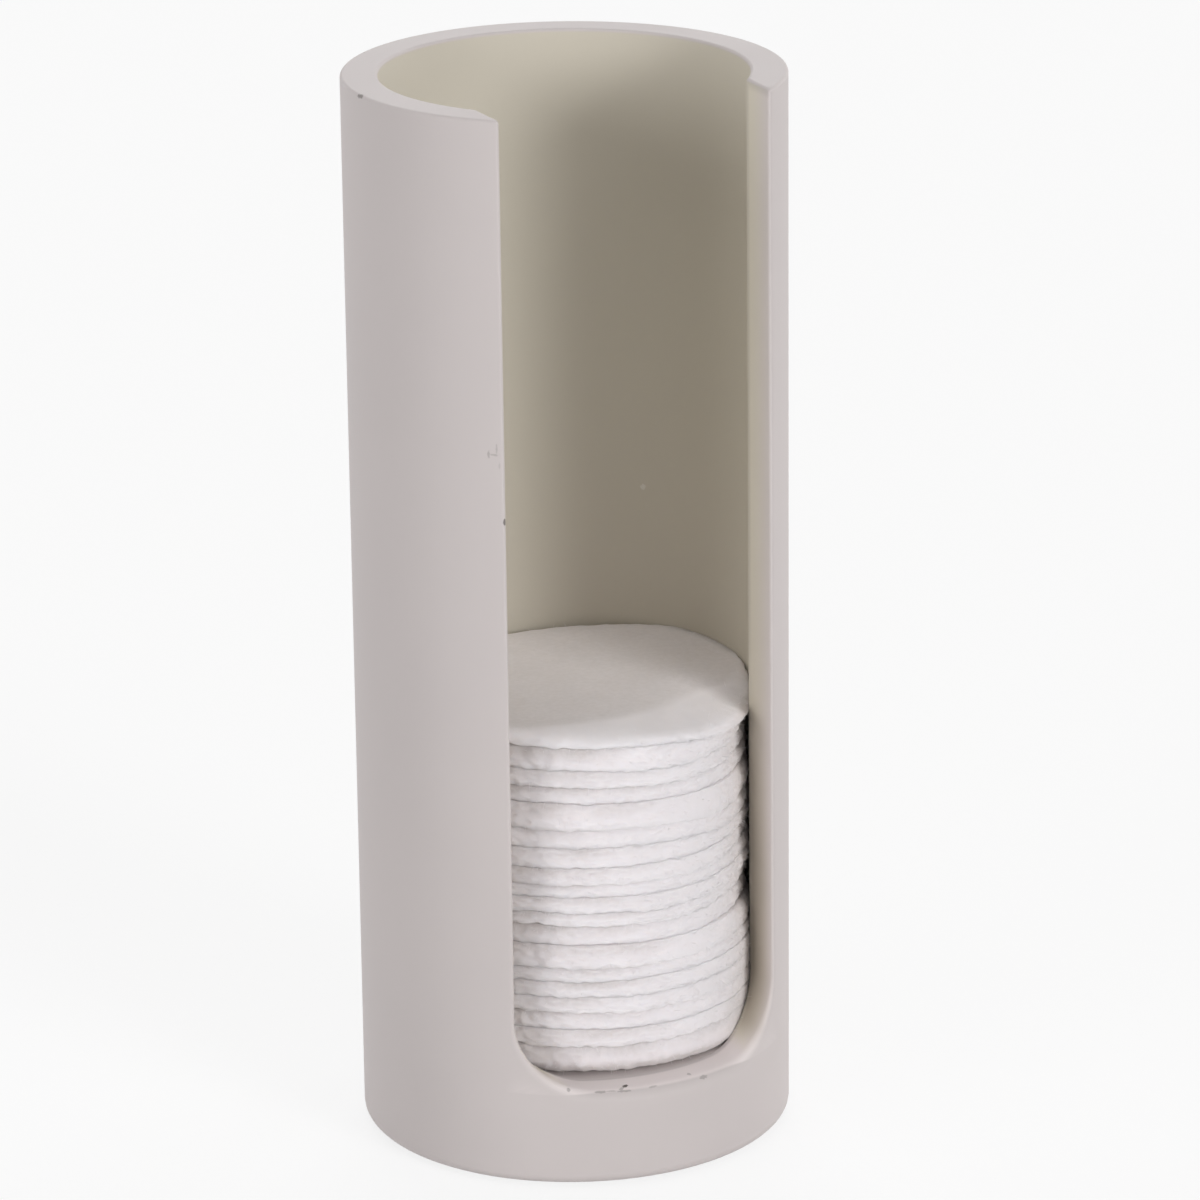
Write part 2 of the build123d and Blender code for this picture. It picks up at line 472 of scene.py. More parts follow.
def pushed_up(co):
    """How far the wall pushes the top pad's right-hand end up."""
    side, back = co.dot(SIDEWAYS), co.dot(BACKWARDS)
    return PUSH_UP * between(side, *PUSH_SIDE) * between(back, *PUSH_BACK)


class PadShape:
    """One pad's outline and the way its surface strays from a turned disc."""

    def __init__(self, sizes, shell, number, low, high, centre):
        short, depth = PAD_PLACES[number - 1]
        over = PAD_PLACES[number][1] if number < len(PAD_PLACES) else 1.0
        self.sizes, self.seed, self.top = sizes, number * PAD_SPACING, number == len(PAD_PLACES)
        self.lowest, self.second = number == 1, number == 2
        self.low, self.high, self.short = low, high, short * MM
        self.radius = sizes.diameter / 2
        self.wall, self.relief = shell.bore_diameter / 2 - WALL_GAP, shell.bore_relief
        self.depth, self.over = depth, 0.0 if self.top else over
        self.upper = sizes.upper_groove * (TOP_GROOVE if self.top else over)
        self.lower = sizes.lower_groove * depth
        self.nose_share = TOP_NOSE if self.top else NOSE
        self.shift = SIDEWAYS * sizes.shift + BACKWARDS * centre.dot(BACKWARDS)

    def profile(self):
        """Half the pad's outline."""
        return pad_profile(self.radius, self.low, self.high, self.upper, self.lower, self.nose_share)

    def edge(self, turn, angle):
        """A point on the turned disc's rounded edge."""
        point = edge_point(angle, self.radius, self.low, self.high, self.upper, self.lower, self.nose_share)
        return Vector((point.x * cos(turn), point.x * sin(turn), point.z))

    def settled(self, co):
        """Where a point of the turned disc comes to lie."""
        sizes, seed = self.sizes, self.seed
        co = co.copy()
        if self.top:
            self.curl(co)
        reach = hypot(co.x, co.y)
        turn = atan2(co.y, co.x)
        edge = between(reach - self.radius, *EDGE_BAND)
        level = self.level_of(co)
        if edge > 0:
            middle_share = 1 - abs(2 * level - 1)
            ragged = (stray(turn, seed, BULGES) + TUFT_SHARE * stray(turn, seed + 40, TUFTS)
                      + NICK_SHARE * stray(turn, seed + 80 + level, NICKS)) * sizes.raggedness
            curl = EDGE_CURL * (self.high - self.low) * stray(turn, seed + 20, BULGES) * middle_share
            scallop = sizes.scallop * stray(turn, seed + 60, NICKS) * (1 - level)
            fallen = max(self.radius - reach, 0.0) * self.closed(turn, level)
            co.z += (curl + scallop) * edge
            short = self.short * between(side_share(turn), SHORT_START, 1.0)
            co.xy *= 1 + (ragged - short + fallen * edge) * edge / reach
        if self.top:
            co.z += pushed_up(co) * max(level, 0.0) ** PUSH_FADE
        co.xy += self.shift.xy
        co.z += settle(co, sizes)
        wall = self.wall + self.relief * smooth((co.z - PLUG_HIGH.z) / RELIEF_RISE)
        co.xy *= min(1.0, wall / max(hypot(co.x, co.y), wall / 2))
        return co

    def level_of(self, co):
        """How high in the pad a point lies, from 0 at its underside to 1 at its face."""
        return (co.z - self.low) / (self.high - self.low)

    def curl(self, co):
        """Widens the rounding of the top pad's upper edge to where its face starts to curl down."""
        reach, start = hypot(co.x, co.y), from_table(CURL_STARTS, degrees(turn_of(co))) * MM
        flat = self.radius - self.upper
        if reach == 0 or self.level_of(co) < self.nose_share:
            return
        if reach <= flat:
            co.xy *= start / flat
        else:
            co.xy *= (self.radius - (self.radius - reach) * (self.radius - start) / self.upper) / reach

    def closed(self, turn, level):
        """How far the grooves are closed at a turn of the stack, which is less round the lowest pad."""
        share = 1 - from_table(GROOVE_DEPTHS, side_share(turn))
        low = self.lowest or (self.second and level < self.nose_share)
        return share * LOW_CLOSING if low else share

    def shade(self, co):
        """How much painted shade darkens the cotton at a point of the turned disc: most under the pad above.
        """
        reach, turn = hypot(co.x, co.y), atan2(co.y, co.x)
        level = self.level_of(co)
        if self.top and level > 0.5:
            curled = co.copy()
            self.curl(curled)
            start = from_table(CURL_STARTS, degrees(turn_of(co))) * MM
            return FACE_SHADE * between(start - hypot(curled.x, curled.y), *FACE_FADE)
        open_share = 1 - self.closed(turn, level)
        patches = max(PATCH_SHADE + PATCH_STRAY * stray(turn, self.seed + 15, PATCH_BEATS), 0.0)
        over_reach = OVER_REACH + OVER_STRAY * stray(turn, self.seed + 5, OVER_BEATS)
        above = self.over * (1 - smooth((1 - level) / over_reach))
        even = from_table(EVEN_SHADES, max(side_share(turn), 0.0))
        # Painted shade darkens the lowest pad's foot, where it sits on the floor
        if self.lowest:
            on_floor = FLOOR_SHADE * (1 - smooth(level / FLOOR_REACH))
            return max(above * patches * open_share, on_floor, even)
        below = UNDER_SHADE * self.depth * (1 - smooth(level / UNDER_REACH))
        groove = max(above, below) * patches * min(open_share, 1.0)
        edge = between(reach - self.radius, *SHADE_BAND)
        return edge * max(groove, even)


def turned_disc():
    """A plain disc for every pad to start from, with each vertex's place in the pad's outline."""
    bm = bmesh.new()
    place = bm.verts.layers.int.new("place")
    bm.verts.layers.float.new(SHADE)
    verts = [bm.verts.new(p) for p in pad_profile(1.0, 0.0, 1.0, 0.1, 0.1)]
    for i, vert in enumerate(verts):
        vert[place] = i
    edges = [bm.edges.new(pair) for pair in zip(verts, verts[1:])]
    bmesh.ops.spin(bm, geom=verts + edges, cent=(0, 0, 0), axis=(0, 0, 1), angle=2 * pi,
                   steps=PAD_TURNS, use_merge=True)
    bmesh.ops.remove_doubles(bm, verts=bm.verts, dist=0.0001)
    bmesh.ops.recalc_face_normals(bm, faces=bm.faces)
    for face in bm.faces:
        face.smooth = True
    return bm


def pad_mesh(shape, disc):
    """A pressed cotton pad: the plain disc drawn to its outline, roughened and settled on the stack."""
    bm = disc.copy()
    place, shade = bm.verts.layers.int["place"], bm.verts.layers.float[SHADE]
    outline = shape.profile()
    for vert in bm.verts:
        point = outline[vert[place]]
        turn = atan2(vert.co.y, vert.co.x)
        plain = Vector((point.x * cos(turn), point.x * sin(turn), point.z))
        vert[shade] = shape.shade(plain)
        vert.co = shape.settled(plain)
    bm.verts.layers.int.remove(place)
    return bm


def fuzz_on(pad, shape, sizes, dice):
    """The loose fibres that stand out of a pad's edge, as a piece that goes with the pad."""
    strands = bpy.data.curves.new(pad.name + "_fibres", "CURVE")
    strands.dimensions = "3D"
    strands.bevel_depth = sizes.fibre_width / 2
    strands.bevel_resolution = 0
    strands.use_fill_caps = True
    for _ in range(sizes.fibre_count):
        turn, angle = dice.uniform(0, 2 * pi), dice.triangular(*FIBRE_ANGLES)
        out = Vector((cos(turn) * cos(angle), sin(turn) * cos(angle), sin(angle)))
        lean = Vector([dice.gauss(0, FIBRE_SPRAY) for _ in range(3)])
        bend = Vector([dice.gauss(0, FIBRE_BEND) for _ in range(3)])
        reach = sizes.fibre_length * dice.triangular(*FIBRE_REACHES)
        root = shape.settled(shape.edge(turn, angle))
        spline = strands.splines.new("POLY")
        spline.points.add(FIBRE_STEPS)
        for i, point in enumerate(spline.points):
            t = i / FIBRE_STEPS
            co = root + (out * (t - FIBRE_ROOT) + (lean + bend * t) * t * FIBRE_SWAY) * reach
            point.co = (*co, 1.0)
            point.radius = 1 - FIBRE_TAPER * t
    holder = bpy.data.objects.new(strands.name, strands)
    mesh = bpy.data.meshes.new_from_object(holder)
    bpy.data.objects.remove(holder)
    mesh.name = strands.name
    mesh.materials.clear()
    mesh.materials.append(finish_named("pressed_cotton"))
    fuzz = bpy.data.objects.new(strands.name, mesh)
    bpy.context.scene.collection.objects.link(fuzz)
    return fuzz


# Materials

def tree_of(material):
    """A material's node tree with nothing in it but a shader linked to the output, and that shader."""
    material.use_nodes = True
    tree = material.node_tree
    tree.nodes.clear()
    shader = tree.nodes.new("ShaderNodeBsdfPrincipled")
    output = tree.nodes.new("ShaderNodeOutputMaterial")
    tree.links.new(shader.outputs["BSDF"], output.inputs["Surface"])
    return tree, shader


def node(tree, kind, inputs=None, **settings):
    """Adds a node, sets its properties, and sets or links its inputs."""
    made = tree.nodes.new(kind)
    for key, value in settings.items():
        setattr(made, key, value)
    for key, value in (inputs or {}).items():
        if isinstance(value, bpy.types.NodeSocket):
            tree.links.new(value, made.inputs[key])
        else:
            made.inputs[key].default_value = value
    return made


def arithmetic(tree, operation, a, b=0.0, clamp=False):
    """The result of a Math node."""
    made = node(tree, "ShaderNodeMath", {0: a, 1: b}, operation=operation, use_clamp=clamp)
    return made.outputs["Value"]


def ramp(tree, value, start, end, low=0.0, high=1.0):
    """Turns a value from start to end into one from low to high, with soft ends."""
    made = node(tree, "ShaderNodeMapRange", {"Value": value, "From Min": start, "From Max": end,
                                             "To Min": low, "To Max": high}, interpolation_type="SMOOTHSTEP")
    return made.outputs["Result"]


def blend_colour(tree, factor, a, b, blend_type="MIX"):
    """Two colours blended, each of them either a colour or another node's output."""
    made = node(tree, "ShaderNodeMix", data_type="RGBA", blend_type=blend_type)
    for key, kind, value in (("Factor", "VALUE", factor), ("A", "RGBA", a), ("B", "RGBA", b)):
        socket = next(s for s in made.inputs if s.name == key and s.type == kind)
        if isinstance(value, bpy.types.NodeSocket):
            tree.links.new(value, socket)
        else:
            socket.default_value = value if key == "Factor" else (*value, 1.0)
    return next(s for s in made.outputs if s.type == "RGBA")


def both(tree, first, *others):
    """The masks multiplied together."""
    for other in others:
        first = arithmetic(tree, "MULTIPLY", first, other)
    return first


def grey(tree, level):
    """A grey of that level, to multiply a colour by."""
    made = node(tree, "ShaderNodeCombineColor", {"Red": level, "Green": level, "Blue": level})
    return made.outputs["Color"]


def varied_colour(tree, share, base, darker, lighter):
    """A colour that varies between two shares of itself."""
    dark, light = tuple(c * darker for c in base), tuple(min(1.0, c * lighter) for c in base)
    return blend_colour(tree, share, dark, light)


def object_place(tree):
    """The object's own coordinates, in metres."""
    return node(tree, "ShaderNodeTexCoord").outputs["Object"]


def new_group(name, inputs, outputs):
    """A shader node group with the named sockets, and its input and output nodes' sockets."""
    group = bpy.data.node_groups.new(name, "ShaderNodeTree")
    for title, kind, default in inputs:
        socket = group.interface.new_socket(title, in_out="INPUT", socket_type=kind)
        socket.default_value = default
    for title, kind in outputs:
        group.interface.new_socket(title, in_out="OUTPUT", socket_type=kind)
    return group, group.nodes.new("NodeGroupInput").outputs, group.nodes.new("NodeGroupOutput").inputs


def placed(tree, group, inputs):
    """A node group placed in a material, with its inputs set or linked."""
    return node(tree, "ShaderNodeGroup", inputs, node_tree=group)


SPOT_EDGE = (1.0, 0.6)       # of a mark's half size, over which it comes in


def spot_group():
    """A mark with a ragged outline: 1 in its middle and 0 outside."""
    group, inputs, outputs = new_group("ragged_spot", [
        ("Place", "NodeSocketVector", (0, 0, 0)),
        ("Centre", "NodeSocketVector", (0, 0, 0)),
        ("Half size", "NodeSocketVector", (1, 1, 1)),
        ("Turn", "NodeSocketFloat", 0.0),
        ("Raggedness", "NodeSocketFloat", 0.5),
        ("Grain", "NodeSocketFloat", 0.0)], [("Mask", "NodeSocketFloat")])
    away = node(group, "ShaderNodeVectorMath", {0: inputs["Place"], 1: inputs["Centre"]},
                operation="SUBTRACT")
    back = arithmetic(group, "MULTIPLY", inputs["Turn"], -1.0)
    turned = node(group, "ShaderNodeVectorRotate", {"Vector": away.outputs[0], "Angle": back},
                  rotation_type="Z_AXIS")
    share = node(group, "ShaderNodeVectorMath", {0: turned.outputs[0], 1: inputs["Half size"]},
                 operation="DIVIDE")
    reach = node(group, "ShaderNodeVectorMath", {0: share.outputs[0]}, operation="LENGTH").outputs["Value"]
    swing = arithmetic(group, "MULTIPLY", inputs["Grain"], inputs["Raggedness"])
    ragged = arithmetic(group, "ADD", reach, swing)
    group.links.new(ramp(group, ragged, *SPOT_EDGE), outputs["Mask"])
    return group


MOTTLE_SPAN = (0.3, 0.7)     # between which levels of the mottle a finish varies


def mottle_group():
    """Slow and fine variation over a painted or pressed surface."""
    group, inputs, outputs = new_group("mottle", [
        ("Place", "NodeSocketVector", (0, 0, 0)),
        ("Slow scale", "NodeSocketFloat", 30.0),
        ("Fine scale", "NodeSocketFloat", 900.0)], [("Slow", "NodeSocketFloat"), ("Fine", "NodeSocketFloat")])
    for title, detail in (("Slow", 2.0), ("Fine", 4.0)):
        waves = node(group, "ShaderNodeTexNoise", {
            "Vector": inputs["Place"], "Scale": inputs[title + " scale"], "Detail": detail})
        group.links.new(waves.outputs["Fac"], outputs[title])
    return group


# Each mark: its middle and half size in millimetres, how far it is turned about the upright in
# degrees, how ragged it is and how strong
LACQUER_MARKS = (
    ((-6.6, -33.40, 17.00), (0.75, 0.50, 0.6), 30, 0.9, 0.95),
    ((-7.5, -33.95, 16.97), (0.70, 0.35, 0.6), 30, 1.2, 0.40),
    ((-11.2, -33.45, 16.83), (1.15, 0.34, 0.6), -18, 1.1, 0.42),
    ((-9.3, -33.95, 16.80), (1.30, 0.20, 0.6), -17, 1.2, 0.28),
    ((-7.3, -34.65, 16.70), (1.40, 0.26, 0.6), -14, 1.2, 0.38),
    ((-16.2, -31.75, 17.40), (0.42, 0.45, 0.6), 0, 1.2, 0.40),
    ((-2.3, -35.20, 16.72), (1.00, 0.22, 0.6), 2, 1.3, 0.28),
    ((5.1, -33.60, 17.00), (0.40, 0.60, 0.5), 0, 1.2, 0.35),
    ((7.2, -34.85, 16.58), (0.90, 0.45, 0.5), 14, 1.4, 0.35),
    ((-24.0, -27.2, 115.9), (0.35, 0.60, 0.70), 0, 1.2, 0.75),
    ((-36.2, -0.8, 181.7), (0.50, 1.20, 0.45), 0, 1.4, 0.60),
    ((-26.0, -25.6, 127.0), (0.30, 0.60, 0.95), -45, 1.5, 0.30),
    ((-25.3, -26.3, 127.1), (0.95, 0.60, 0.22), -45, 1.5, 0.24),
    ((-25.0, -26.6, 128.2), (0.22, 0.60, 0.95), -45, 1.5, 0.22),
    ((-24.7, -26.9, 125.4), (0.20, 0.60, 0.75), -45, 1.5, 0.14),
)
PALE_MARKS = (
    ((23.0, 19.7, 102.3), (0.6, 0.6, 0.6), 0, 1.2, 0.6),
)
MARK_GRAIN = 2400.0          # the scale of the noise that makes the marks ragged

# Over which distances from the axis the warm tint painted into the bore for its shade gives way to the outer
# colour, and between which heights it does so at the floor and at the rim
BORE_TINT_REACH = (30.8 * MM, 36.6 * MM)
FLOOR_TINT_FADE = (PLUG_HIGH.z + 2.5 * MM, PLUG_HIGH.z + 0.5 * MM)
RIM_TINT_FADE = (BODY_HIGH.z - 0.8 * MM, BODY_HIGH.z - 0.2 * MM)

# The cut faces of the slot: from where to where they lie off the axis, at which heights the sill
# and the two sides come in and go out, and how far forward the sides are
CUT_OUTER, CUT_INNER = (36.45 * MM, 35.8 * MM), (30.5 * MM, 31.2 * MM)
SILL_FOOT = (PLUG_HIGH.z - 0.4 * MM, PLUG_HIGH.z - 0.1 * MM)
SILL_TOP = (PLUG_HIGH.z + 4 * MM, PLUG_HIGH.z + 0.5 * MM)
SIDE_FOOT = (PLUG_HIGH.z + 0.3 * MM, PLUG_HIGH.z + 4 * MM)
SIDE_TOP = (BODY_HIGH.z - 0.5 * MM, BODY_HIGH.z - 2 * MM)
SIDE_FRONT = (-10 * MM, -14 * MM)

# How much painted light brightens those faces, and where painted shade darkens the slot's sides
SILL_PAINTED_LIGHT, SIDE_PAINTED_LIGHT = 0.30, 0.18
SIDE_SHADE_HEIGHTS, SIDE_SHADE_REACH = (110 * MM, 30 * MM), (37.5 * MM, 32 * MM)
SIDE_SHADE_SHARE = 0.9
# The colour of the painted shade on the slot's sides, and of the real chips and pale specks
SIDE_SHADE, CHIPPED, SPECKED = (0.50, 0.445, 0.365), (0.10, 0.088, 0.076), (0.80, 0.78, 0.74)


def marks(tree, place, spots, table):
    """The strongest of the marks at each point."""
    waves = node(tree, "ShaderNodeTexNoise", {"Vector": place, "Scale": MARK_GRAIN, "Detail": 3.0})
    grain = arithmetic(tree, "SUBTRACT", waves.outputs["Fac"], 0.5)
    mask = 0.0
    for middle, half, turn, ragged, strength in table:
        spot = placed(tree, spots, {
            "Place": place, "Centre": [v * MM for v in middle], "Half size": [v * MM for v in half],
            "Turn": radians(turn), "Raggedness": ragged, "Grain": grain})
        mask = arithmetic(tree, "MAXIMUM", mask, arithmetic(tree, "MULTIPLY", spot.outputs["Mask"], strength))
    return mask


def lacquer_with_painted_light(tree, place, slow, finishes):
    """The lacquer's colour, with painted light and shade: a warm shade tint in the bore, painted light on the
    slot's cut faces, and painted shade low on its sides.
    """
    outside = varied_colour(tree, ramp(tree, slow, *MOTTLE_SPAN), finishes.lacquer, 0.985, 1.015)
    across = node(tree, "ShaderNodeVectorMath", {0: place, 1: (1, 1, 0)}, operation="MULTIPLY")
    reach = node(tree, "ShaderNodeVectorMath", {0: across.outputs[0]}, operation="LENGTH").outputs["Value"]
    axes = node(tree, "ShaderNodeSeparateXYZ", {0: place}).outputs
    height = axes["Z"]
    # Painted shade tint: the bore and the slot's cut faces take a warmer colour for the warm shade inside;
    # the floor and the rim keep the outer colour
    coat = ramp(tree, reach, *BORE_TINT_REACH)
    for heights in (FLOOR_TINT_FADE, RIM_TINT_FADE):
        coat = arithmetic(tree, "MAXIMUM", coat, ramp(tree, height, *heights))
    paint = blend_colour(tree, coat, tuple(finishes.bore_shade_tint), outside)
    cut = both(tree, ramp(tree, reach, *CUT_OUTER), ramp(tree, reach, *CUT_INNER))
    sill = both(tree, cut, ramp(tree, height, *SILL_FOOT), ramp(tree, height, *SILL_TOP))
    side = both(tree, cut, ramp(tree, axes["Y"], *SIDE_FRONT), ramp(tree, height, *SIDE_TOP),
                ramp(tree, height, *SIDE_FOOT))
    # Painted light brightens the sill and the slot's sides
    lighter = arithmetic(tree, "ADD", arithmetic(tree, "MULTIPLY", sill, SILL_PAINTED_LIGHT),
                         arithmetic(tree, "MULTIPLY", side, SIDE_PAINTED_LIGHT))
    paint = blend_colour(tree, 1.0, paint, grey(tree, arithmetic(tree, "ADD", 1.0, lighter)), "MULTIPLY")
    # Painted shade darkens the slot's sides towards the bore, more so low down, in a warmer colour
    side_shade = both(tree, side, ramp(tree, height, *SIDE_SHADE_HEIGHTS, 0.0, SIDE_SHADE_SHARE),
                   ramp(tree, reach, *SIDE_SHADE_REACH))
    return blend_colour(tree, side_shade, paint, SIDE_SHADE)


def lacquer_material(finishes, spots, mottle):
    """Satin greige lacquer over turned wood, faintly uneven, with the small marks of handling and painted
    light and shade on the slot and in the bore.
    """
    material = bpy.data.materials.new("satin_lacquer")
    tree, shader = tree_of(material)
    place = object_place(tree)
    varied = placed(tree, mottle, {"Place": place, "Slow scale": 28.0, "Fine scale": 1100.0}).outputs
    chips = marks(tree, place, spots, LACQUER_MARKS)
    specks = marks(tree, place, spots, PALE_MARKS)
    paint = blend_colour(tree, chips, lacquer_with_painted_light(tree, place, varied["Slow"], finishes), CHIPPED)
    tree.links.new(blend_colour(tree, specks, paint, SPECKED), shader.inputs["Base Color"])
    worn = arithmetic(tree, "MAXIMUM", chips, specks)
    rough = ramp(tree, varied["Slow"], *MOTTLE_SPAN, 0.54, 0.60)
    tree.links.new(arithmetic(tree, "ADD", rough, arithmetic(tree, "MULTIPLY", worn, 0.35), clamp=True),
                   shader.inputs["Roughness"])
    shader.inputs["Specular IOR Level"].default_value = 0.25
    relief = arithmetic(tree, "SUBTRACT", arithmetic(tree, "MULTIPLY", varied["Fine"], 0.12), worn)
    bump = node(tree, "ShaderNodeBump", {"Height": relief, "Strength": 0.25, "Distance": 0.05 * MM})
    tree.links.new(bump.outputs["Normal"], shader.inputs["Normal"])
    return material


DEEPEST_SHADE = (0.74, 0.725, 0.70)  # of the cotton's colour, where the painted shade is deepest


def cotton_material(finishes, mottle):
    """Pressed cotton: matt and slightly downy, darkened by painted shade from the pads' attribute."""
    material = bpy.data.materials.new("pressed_cotton")
    tree, shader = tree_of(material)
    place = object_place(tree)
    varied = placed(tree, mottle, {"Place": place, "Slow scale": 160.0, "Fine scale": 2400.0}).outputs
    wool = varied_colour(tree, ramp(tree, varied["Slow"], *MOTTLE_SPAN), finishes.cotton, 0.975, 1.02)
    # Painted shade stored on the pads' vertices, broken up by noise, dims the cotton's colour
    painted_shade = node(tree, "ShaderNodeAttribute", attribute_type="GEOMETRY", attribute_name=SHADE).outputs["Fac"]
    tufts = node(tree, "ShaderNodeTexNoise", {"Vector": place, "Scale": 1100.0, "Detail": 3.0}).outputs["Fac"]
    patchy_shade = arithmetic(tree, "MULTIPLY", painted_shade, arithmetic(tree, "ADD", tufts, 0.5))
    wool = blend_colour(tree, arithmetic(tree, "MINIMUM", patchy_shade, 1.0), wool,
                        tuple(c * dim for c, dim in zip(finishes.cotton, DEEPEST_SHADE)))
    tree.links.new(wool, shader.inputs["Base Color"])
    shader.inputs["Roughness"].default_value = 1.0
    shader.inputs["Specular IOR Level"].default_value = 0.15
    shader.inputs["Subsurface Weight"].default_value = 0.7
    shader.inputs["Subsurface Radius"].default_value = (1.0, 0.95, 0.9)
    shader.inputs["Subsurface Scale"].default_value = 1.6 * MM
    shader.inputs["Sheen Weight"].default_value = 0.15
    shader.inputs["Sheen Roughness"].default_value = 0.6
    strands = node(tree, "ShaderNodeTexNoise", {"Vector": place, "Scale": 1300.0, "Detail": 5.0,
                                                "Roughness": 0.65, "Distortion": 1.6})
    relief = arithmetic(tree, "ADD", arithmetic(tree, "MULTIPLY", strands.outputs["Fac"], 0.7),
                        arithmetic(tree, "MULTIPLY", varied["Slow"], 0.5))
    bump = node(tree, "ShaderNodeBump", {"Height": relief, "Strength": 0.5, "Distance": 0.12 * MM})
    tree.links.new(bump.outputs["Normal"], shader.inputs["Normal"])
    return material


def foam_material(finishes):
    """Closed-cell foam with fine pores."""
    material = bpy.data.materials.new("cell_foam")
    tree, shader = tree_of(material)
    place = object_place(tree)
    cells = node(tree, "ShaderNodeTexVoronoi", {"Vector": place, "Scale": 1600.0})
    pores = ramp(tree, cells.outputs["Distance"], 0.05, 0.45)
    tree.links.new(varied_colour(tree, pores, finishes.foam, 0.6, 1.3), shader.inputs["Base Color"])
    shader.inputs["Roughness"].default_value = 0.9
    bump = node(tree, "ShaderNodeBump", {"Height": pores, "Strength": 0.4, "Distance": 0.1 * MM})
    tree.links.new(bump.outputs["Normal"], shader.inputs["Normal"])
    return material


def finish_named(name):
    """The finish of that name, made with the others when it is first asked for."""
    if name not in bpy.data.materials:
        finishes = bpy.context.scene.pad_container_finishes
        spots, mottle = spot_group(), mottle_group()
        lacquer_material(finishes, spots, mottle)
        cotton_material(finishes, mottle)
        foam_material(finishes)
    return bpy.data.materials[name]


# The stage

VIEW_TURN = -24.8            # degrees from the slot's middle, where the camera stands
CAMERA_PLACE = Vector((-0.39196, -0.84827, 0.39870))
CAMERA_AIM = Vector((0.00455, -0.00187, 0.09105))
LAMP_DISTANCE = 1.5
FLOOR_RADIUS, FLOOR_SIDES = 6.0, 96
BACKDROP_GLOW, GLOW_SHARE = 1.03, 0.8
SKY_STRENGTH = 0.04

# Each lamp: how far it is turned from the camera's side and raised, how wide it looks from the
# container, all in degrees, and its strength
LAMPS = (
    ("left_side", -62, 8, 33, 0.605),
    ("left_front", -42, 8, 25, 0.715),
    ("front", 0, 18, 41, 0.165),
    ("right_front", 42, 14, 18, 1.200),
    ("right_front_high", 42, 30, 30, 0.430),
    ("right_back", 130, 14, 33, 0.760),
    ("left_back", -130, 14, 33, 0.360),
    ("top", 0, 84, 41, 0.590),
    ("behind", 180, 35, 41, 1.050),
)


def lamp(name, turn, rise, width, strength):
    """A wide soft light from far away, so that it also reaches pads that are lifted high."""
    data = bpy.data.lights.new(name, "SUN")
    data.energy = strength
    data.angle = radians(width)
    made = bpy.data.objects.new(name, data)
    bpy.context.scene.collection.objects.link(made)
    side, rise = radians(VIEW_TURN + turn), radians(rise)
    back = Vector((sin(side) * cos(rise), -cos(side) * cos(rise), sin(rise)))
    made.location = back * LAMP_DISTANCE
    made.rotation_euler = (-back).to_track_quat("-Z", "Y").to_euler()


def seen(tree):
    """1 for what the camera sees, by itself, in a reflection or through glass."""
    rays = node(tree, "ShaderNodeLightPath").outputs
    mirrored = arithmetic(tree, "MAXIMUM", rays["Is Camera Ray"], rays["Is Glossy Ray"])
    return arithmetic(tree, "MAXIMUM", mirrored, rays["Is Transmission Ray"])


def backdrop_material(stage):
    """A pale floor that keeps soft shadows and is nearly white where the camera sees it unshaded."""
    material = bpy.data.materials.new("backdrop")
    tree, shader = tree_of(material)
    tree.nodes.remove(shader)
    plain = node(tree, "ShaderNodeBsdfDiffuse", {"Color": (*stage.backdrop, 1.0)})
    glow = node(tree, "ShaderNodeEmission", {"Color": (1, 1, 1, 1), "Strength": BACKDROP_GLOW})
    share = arithmetic(tree, "MULTIPLY", seen(tree), GLOW_SHARE)
    mixed = node(tree, "ShaderNodeMixShader", {0: share, 1: plain.outputs[0], 2: glow.outputs[0]})
    tree.links.new(mixed.outputs[0], tree.nodes["Material Output"].inputs["Surface"])
    return material


def studio_world():
    """A faint even sky beside the lamps, white to the camera and in reflections."""
    world = bpy.data.worlds.new("studio")
    bpy.context.scene.world = world
    world.use_nodes = True
    tree = world.node_tree
    tree.nodes.clear()
    sky = node(tree, "ShaderNodeBackground", {"Color": (1, 1, 1, 1), "Strength": SKY_STRENGTH})
    white = node(tree, "ShaderNodeBackground", {"Color": (1, 1, 1, 1), "Strength": 1.0})
    mixed = node(tree, "ShaderNodeMixShader", {0: seen(tree), 1: sky.outputs[0], 2: white.outputs[0]})
    tree.links.new(mixed.outputs[0], node(tree, "ShaderNodeOutputWorld").inputs["Surface"])


# Operators, one for each piece or group of like pieces

class PADBOX_OT_shell(Operator):
    """Build the lacquered tube with its finger slot"""
    bl_idname = "pad_container.shell"
    bl_label = "Tube with finger slot"

    def execute(self, context):
        sizes = context.scene.pad_container_shell
        shell = new_piece("lacquered_tube", shell_mesh(sizes), finish_named("satin_lacquer"),
                          "container")
        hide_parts("container_body")
        bevel = shell.modifiers.new("eased edges", "BEVEL")
        bevel.limit_method = "WEIGHT"
        bevel.offset_type = "OFFSET"
        bevel.width = widest_easing(sizes)
        bevel.segments = 5
        bevel.profile = 0.5
        bevel.use_clamp_overlap = False
        weigh = shell.modifiers.new("weighted normals", "WEIGHTED_NORMAL")
        weigh.mode = "FACE_AREA"
        weigh.keep_sharp = True
        return {"FINISHED"}


class PADBOX_OT_base(Operator):
    """Finish the base plug and the anti-slip foot"""
    bl_idname = "pad_container.base"
    bl_label = "Base plug and foot"

    def execute(self, context):
        for name, finish in (("base_plug", "satin_lacquer"), ("anti_slip_foot", "cell_foam")):
            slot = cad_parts[name].material_slots[0]
            slot.link = "OBJECT"
            slot.material = finish_named(finish)
        return {"FINISHED"}


